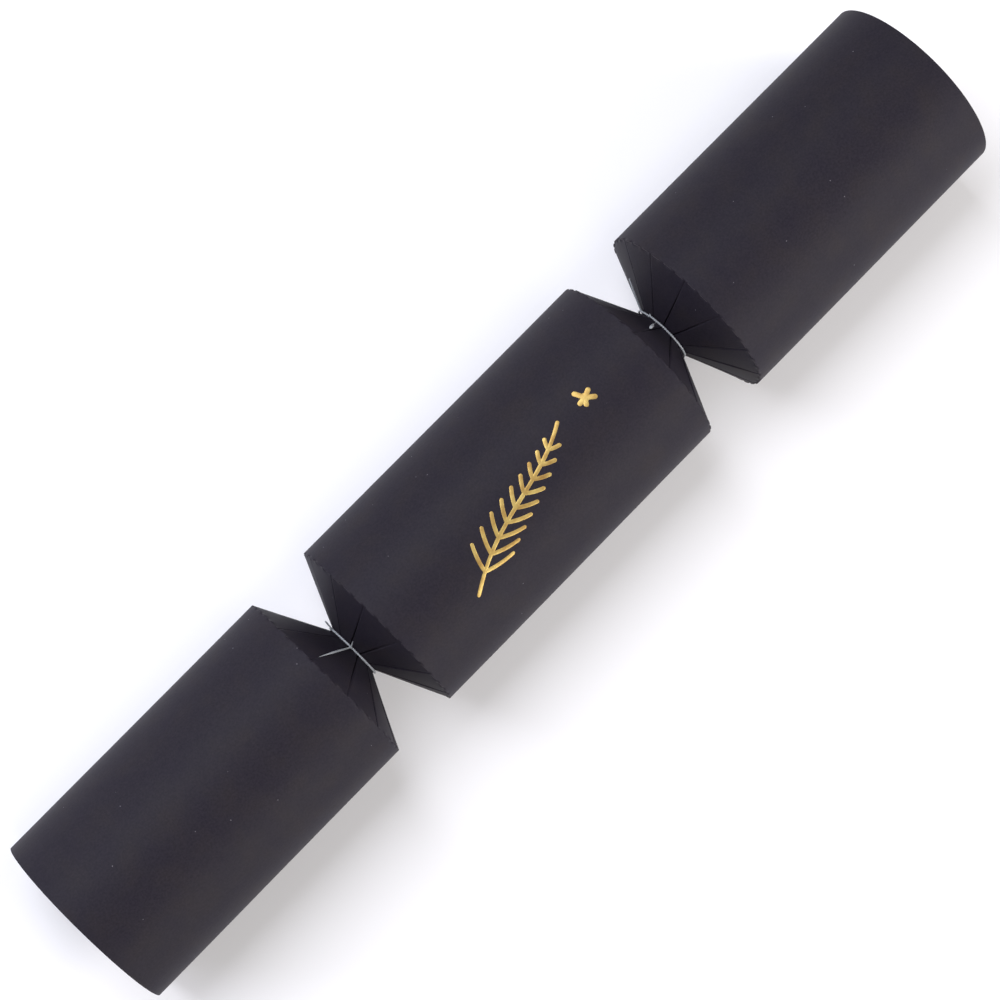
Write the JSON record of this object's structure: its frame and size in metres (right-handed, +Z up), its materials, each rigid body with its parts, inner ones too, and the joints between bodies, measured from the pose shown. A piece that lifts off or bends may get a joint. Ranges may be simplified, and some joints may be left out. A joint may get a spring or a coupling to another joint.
{
  "type": "christmas cracker",
  "caption": "Black card Christmas cracker: a barrel between two pleated waists tied with thread, with open handles, a pull snap, and a paper crown, motto slip and spinning top inside.",
  "frame": {"origin": "on the table under the middle of the barrel", "axes": "+X along the cracker towards its right handle, +Z up, with the glued seam below"},
  "size_m": [0.2776, 0.048, 0.0485],
  "materials": {
    "black_card": "matte charcoal black card, dyed through, with a faint fibre grain",
    "tie_thread": "thin silver-grey twisted thread",
    "seam_tape": "clear double-sided sticky tape",
    "snap_card": "plain buff card",
    "friction_patch": "fine gritty coating",
    "slip_paper": "plain off-white paper",
    "tissue_paper": "soft red tissue paper",
    "rubber_ring": "thin natural rubber",
    "turned_wood": "bare turned beech"
  },
  "bodies": {
    "barrel": {"barrel_tube": "black_card", "barrel_seam_tape": "seam_tape"},
    "left_neck": {"left_barrel_cone": "black_card", "left_tie": "tie_thread", "left_snap_strip": "snap_card", "left_snap_patch": "friction_patch", "snap_band": "slip_paper"},
    "right_neck": {"right_barrel_cone": "black_card", "right_tie": "tie_thread", "right_snap_strip": "snap_card", "right_snap_patch": "friction_patch"},
    "left_handle": {"left_handle_cone": "black_card", "left_handle_tube": "black_card", "left_seam_tape": "seam_tape"},
    "right_handle": {"right_handle_cone": "black_card", "right_handle_tube": "black_card", "right_seam_tape": "seam_tape"},
    "crown": {"crown_roll": "tissue_paper", "crown_ring": "rubber_ring"},
    "motto": {"motto_roll": "slip_paper"},
    "top": {"top_disc": "turned_wood", "top_spindle": "turned_wood"}
  },
  "joints": [
    {"name": "left_pull", "type": "slide", "parent": "barrel", "child": "left_neck", "axis": [-1, 0, 0], "range_m": [0, 0.06]},
    {"name": "left_sway", "type": "hinge", "parent": "left_neck", "child": "left_handle", "pos_m": [-0.05295, 0, 0.0245], "axis": [0, 0, 1], "range_deg": [-4, 4], "stiffness_Nm_per_rad": 0.02},
    {"name": "right_pull", "type": "slide", "parent": "barrel", "child": "right_neck", "axis": [1, 0, 0], "range_m": [0, 0.06]},
    {"name": "right_sway", "type": "hinge", "parent": "right_neck", "child": "right_handle", "pos_m": [0.05295, 0, 0.0245], "axis": [0, 0, 1], "range_deg": [-4, 4], "stiffness_Nm_per_rad": 0.02},
    {"name": "crown_rattle", "type": "slide", "parent": "barrel", "child": "crown", "axis": [1, 0, 0], "range_m": [-0.008, 0.008]},
    {"name": "motto_rattle", "type": "slide", "parent": "barrel", "child": "motto", "axis": [1, 0, 0], "range_m": [-0.013, 0.013]},
    {"name": "top_rattle", "type": "slide", "parent": "barrel", "child": "top", "axis": [1, 0, 0], "range_m": [-0.049, 0.01]}
  ]
}
